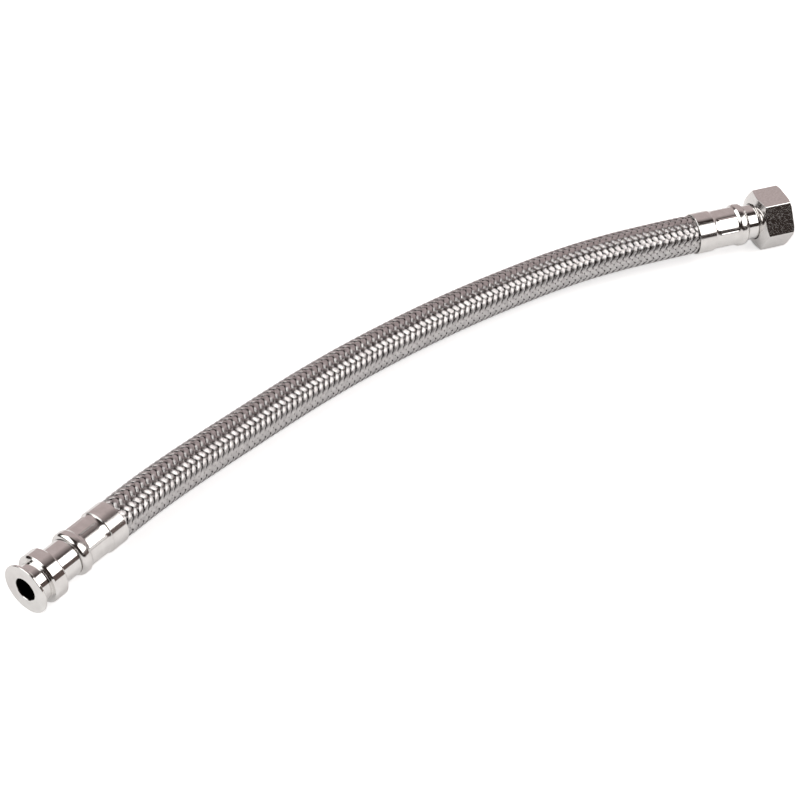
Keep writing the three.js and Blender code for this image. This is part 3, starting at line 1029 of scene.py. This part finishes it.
floor_mesh = bpy.data.meshes.new("floor")
floor_corners = [(FLOOR_REACH * x, FLOOR_REACH * y, 0) for x, y in ((-1, -1), (1, -1), (1, 1), (-1, 1))]
floor_mesh.from_pydata(floor_corners, [], [(0, 1, 2, 3)])
floor = bpy.data.objects.new("floor", floor_mesh)
bpy.context.scene.collection.objects.link(floor)

floor_paint = bpy.data.materials.new("pale_floor")
floor_paint.use_nodes = True
tree = floor_paint.node_tree
tree.nodes.clear()
plain = tree.nodes.new("ShaderNodeBsdfDiffuse")
plain.inputs["Color"].default_value = (*FLOOR_COLOUR, 1)
glow = tree.nodes.new("ShaderNodeEmission")
paths = tree.nodes.new("ShaderNodeLightPath")
camera_share = tree.nodes.new("ShaderNodeMath")
camera_share.operation = "MULTIPLY"
camera_share.inputs[1].default_value = GLOW_FOR_CAMERA
mirror_share = tree.nodes.new("ShaderNodeMath")
mirror_share.operation = "MAXIMUM"
mirror_glow = tree.nodes.new("ShaderNodeMath")
mirror_glow.operation = "MULTIPLY_ADD"
mirror_glow.inputs[1].default_value = GLOW_IN_MIRRORS
both = tree.nodes.new("ShaderNodeAddShader")
output = tree.nodes.new("ShaderNodeOutputMaterial")
tree.links.new(paths.outputs["Is Camera Ray"], camera_share.inputs[0])
tree.links.new(paths.outputs["Is Glossy Ray"], mirror_share.inputs[0])
tree.links.new(paths.outputs["Is Transmission Ray"], mirror_share.inputs[1])
tree.links.new(mirror_share.outputs[0], mirror_glow.inputs[0])
tree.links.new(camera_share.outputs[0], mirror_glow.inputs[2])
tree.links.new(mirror_glow.outputs[0], glow.inputs["Strength"])
tree.links.new(plain.outputs[0], both.inputs[0])
tree.links.new(glow.outputs[0], both.inputs[1])
tree.links.new(both.outputs[0], output.inputs["Surface"])
floor_mesh.materials.append(floor_paint)
print("floor is", floor.dimensions.x, "m wide")

# %% [markdown]
# ## The room and the light
#
# Bright metal has hardly a colour of its own: one sees the room in it. The bands on the fittings say
# what stood round them: a large soft window of light on the near side, a larger one behind to the
# left, a grey wall behind to the right, a dark ceiling, and the white sheet below. Area lights and
# boards could be set up one by one. It is simpler to draw the room into the world, by the direction
# in which one looks, because then each light sits just where its reflection was seen. A panel is
# given by the azimuth and elevation of its middle in degrees, its half width, its half height and
# how soft its edge is. The panels are painted one over another.

# %% World: colours of the room
DARK_ROOM = (0.035, 0.026, 0.023)
GREY_WALL = (0.56, 0.475, 0.47)
LOW_WALL = (0.16, 0.12, 0.11)
WINDOW_LIGHT = (3.0, 2.9, 2.85)
BACK_WINDOW_LIGHT = (2.3, 2.28, 2.25)
PANELS = [
    ((-30, 2, 0.55, 0.35, 0.3), LOW_WALL),
    ((42, 28, 1.05, 0.75, 0.2), GREY_WALL),
    ((-62, 43, 0.41, 0.365, 0.02), WINDOW_LIGHT),
    ((150, 48, 0.62, 0.5, 0.05), BACK_WINDOW_LIGHT),
]

world = bpy.data.worlds.new("studio")
bpy.context.scene.world = world
world.use_nodes = True
tree = world.node_tree
tree.nodes.clear()
looking = tree.nodes.new("ShaderNodeTexCoord").outputs["Generated"]


def calculate(operation, first, second, third=None):
    """A Math node. Each value is a socket or a number."""
    node = tree.nodes.new("ShaderNodeMath")
    node.operation = operation
    for socket, value in zip(node.inputs, (first, second, third)):
        if isinstance(value, bpy.types.NodeSocket):
            tree.links.new(value, socket)
        elif value is not None:
            socket.default_value = value
    return node.outputs[0]


def along_direction(vector):
    """How far the looking direction goes along a vector."""
    node = tree.nodes.new("ShaderNodeVectorMath")
    node.operation = "DOT_PRODUCT"
    tree.links.new(looking, node.inputs[0])
    node.inputs[1].default_value = vector
    return node.outputs["Value"]


def panel(azimuth, elevation, half_width, half_height, softness):
    """One inside a flat panel seen in this direction, and zero outside. Sizes are per metre away."""
    a, e = math.radians(azimuth), math.radians(elevation)
    ahead = along_direction((math.cos(a) * math.cos(e), math.sin(a) * math.cos(e), math.sin(e)))
    across = along_direction((-math.sin(a), math.cos(a), 0))
    up = along_direction((-math.cos(a) * math.sin(e), -math.sin(a) * math.sin(e), math.cos(e)))
    share = calculate("GREATER_THAN", ahead, 0.05)
    for offset, half in ((across, half_width), (up, half_height)):
        from_middle = calculate("ABSOLUTE", calculate("DIVIDE", offset, ahead), 0)
        inside_edge = remap(tree, from_middle, 1, 0, half - softness, half + softness)
        share = calculate("MULTIPLY", share, inside_edge)
    return share


room = DARK_ROOM
for shape, colour in PANELS:
    room = mix_colours(tree, panel(*shape), room, colour)
seen_by_camera = tree.nodes.new("ShaderNodeLightPath").outputs["Is Camera Ray"]
room = mix_colours(tree, seen_by_camera, room, (1, 1, 1))
background = tree.nodes.new("ShaderNodeBackground")
tree.links.new(room, background.inputs["Color"])
tree.links.new(background.outputs[0], tree.nodes.new("ShaderNodeOutputWorld").inputs["Surface"])
bpy.context.scene.view_settings.view_transform = "Standard"
print("nodes in the world:", len(tree.nodes))
